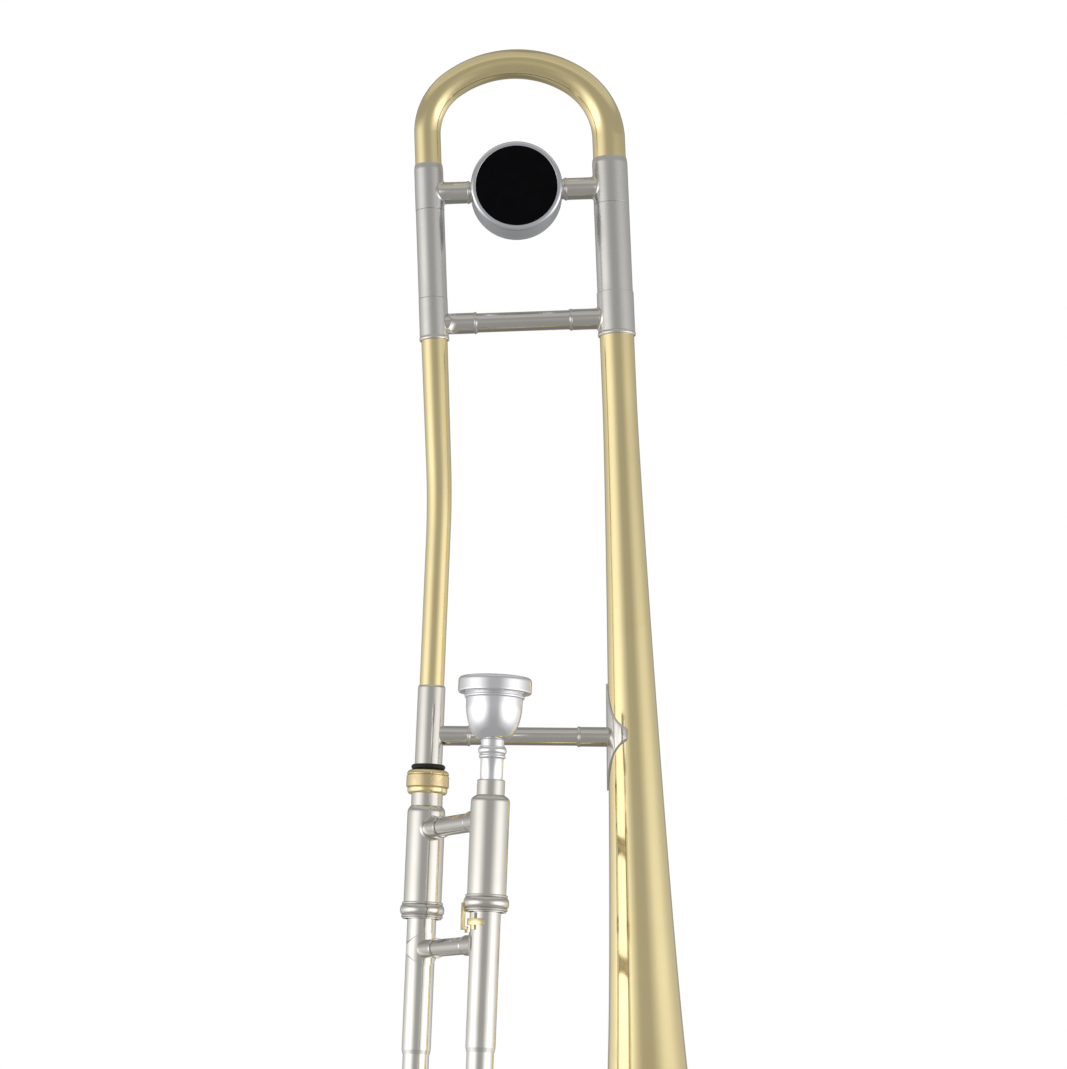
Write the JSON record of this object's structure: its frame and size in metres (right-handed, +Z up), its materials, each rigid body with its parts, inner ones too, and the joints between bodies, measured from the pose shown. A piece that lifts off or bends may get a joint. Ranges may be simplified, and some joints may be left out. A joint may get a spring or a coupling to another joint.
{
  "type": "trombone",
  "caption": "Straight tenor trombone without valve: bell section with tuning slide and balance weight, hand slide with lock, water key and removable mouthpiece.",
  "frame": {"origin": "centre of the bell's mouth, on the plane of its rolled rim", "axes": "+Z up along the hand slide's tubes, +X from the neck leg towards the bell in the bell's plane, -Y towards the mouthpiece side of the hand slide; the bell leans 4.35 degrees from the hand slide"},
  "size_m": [0.2617, 0.204, 1.1944],
  "materials": {
    "lacquered_brass": "clear lacquer over polished yellow brass",
    "nickel_silver": "polished nickel silver",
    "silver_plate": "bright silver plate",
    "chrome_plate": "bright chrome plate",
    "steel": "plain steel",
    "badge_enamel": "glossy black disc",
    "black_rubber": "matt black rubber",
    "cork": "natural cork"
  },
  "bodies": {
    "bell_section": {"bell": "lacquered_brass", "bell_rim_wire": "steel", "bell_ferrule": "nickel_silver", "bell_outer_tube": "nickel_silver", "neck_outer_tube": "nickel_silver", "neck_ferrule": "nickel_silver", "upper_brace_tube": "nickel_silver", "upper_brace_sockets": "nickel_silver", "gooseneck": "lacquered_brass", "neckpipe": "nickel_silver", "neck_washer": "black_rubber", "main_brace_tube": "nickel_silver", "main_socket_neck": "nickel_silver", "main_socket_bell": "nickel_silver", "brace_flange": "nickel_silver"},
    "lock_nut": {"lock_nut": "lacquered_brass"},
    "tuning_slide": {"tuning_bow": "lacquered_brass", "bow_ferrule_neck": "nickel_silver", "bow_ferrule_bell": "nickel_silver", "tuning_leg_neck": "nickel_silver", "tuning_leg_bell": "nickel_silver", "weight_brace_tube": "nickel_silver", "weight_socket_neck": "nickel_silver", "weight_socket_bell": "nickel_silver", "weight_front": "chrome_plate", "weight_back": "chrome_plate", "weight_badge": "badge_enamel", "weight_screws": "steel"},
    "inner_slide": {"slide_receiver": "nickel_silver", "barrel_neck": "nickel_silver", "barrel_ring_neck": "nickel_silver", "inner_tube_neck": "nickel_silver", "inner_tube_mouth": "nickel_silver", "stockings": "chrome_plate", "barrel_mouth": "nickel_silver", "mouthpiece_receiver": "nickel_silver", "leadpipe": "lacquered_brass", "inner_brace_tube": "nickel_silver", "inner_brace_sockets": "nickel_silver", "bumper_corks": "cork"},
    "lock_ring": {"lock_ring": "nickel_silver", "lock_hook": "lacquered_brass"},
    "mouthpiece": {"mouthpiece": "silver_plate"},
    "outer_slide": {"outer_tube_neck": "nickel_silver", "outer_tube_mouth": "nickel_silver", "oversleeve_neck": "nickel_silver", "oversleeve_mouth": "nickel_silver", "outer_brace_tube": "nickel_silver", "outer_brace_sockets": "nickel_silver", "lock_saddle": "lacquered_brass", "end_bow": "nickel_silver", "end_ferrules": "nickel_silver", "bow_guard": "nickel_silver", "rubber_tip": "black_rubber", "key_nipple": "nickel_silver", "key_bracket": "nickel_silver", "key_pin": "steel", "key_spring": "steel"},
    "water_key": {"key_lever": "nickel_silver", "key_cork": "cork"}
  },
  "joints": [
    {"name": "slide_turn", "type": "hinge", "parent": "bell_section", "child": "inner_slide", "pos_m": [-0.13672, 0, 0.29], "axis": [0, 0, 1], "range_deg": [-40, 10]},
    {"name": "nut_turn", "type": "hinge", "parent": "bell_section", "child": "lock_nut", "pos_m": [-0.13672, 0, 0.297], "axis": [0, 0, 1], "continuous": true},
    {"name": "tuning_pull", "type": "slide", "parent": "bell_section", "child": "tuning_slide", "axis": [-0.0759, 0, 0.9971], "range_m": [0, 0.05]},
    {"name": "hand_slide", "type": "slide", "parent": "inner_slide", "child": "outer_slide", "axis": [0, 0, -1], "range_m": [0, 0.58]},
    {"name": "lock_turn", "type": "hinge", "parent": "inner_slide", "child": "lock_ring", "pos_m": [-0.10134, -0.07729, 0.226], "axis": [0, 0, 1], "range_deg": [-25, 20]},
    {"name": "mouthpiece_pull", "type": "slide", "parent": "inner_slide", "child": "mouthpiece", "axis": [0, 0, 1], "range_m": [0, 0.06]},
    {"name": "water_key", "type": "hinge", "parent": "outer_slide", "child": "water_key", "pos_m": [-0.14015, 0.00749, -0.44072], "axis": [0.9092, 0.4163, 0], "range_deg": [0, 14], "stiffness_Nm_per_rad": 0.05, "springref_deg": -17.19}
  ]
}
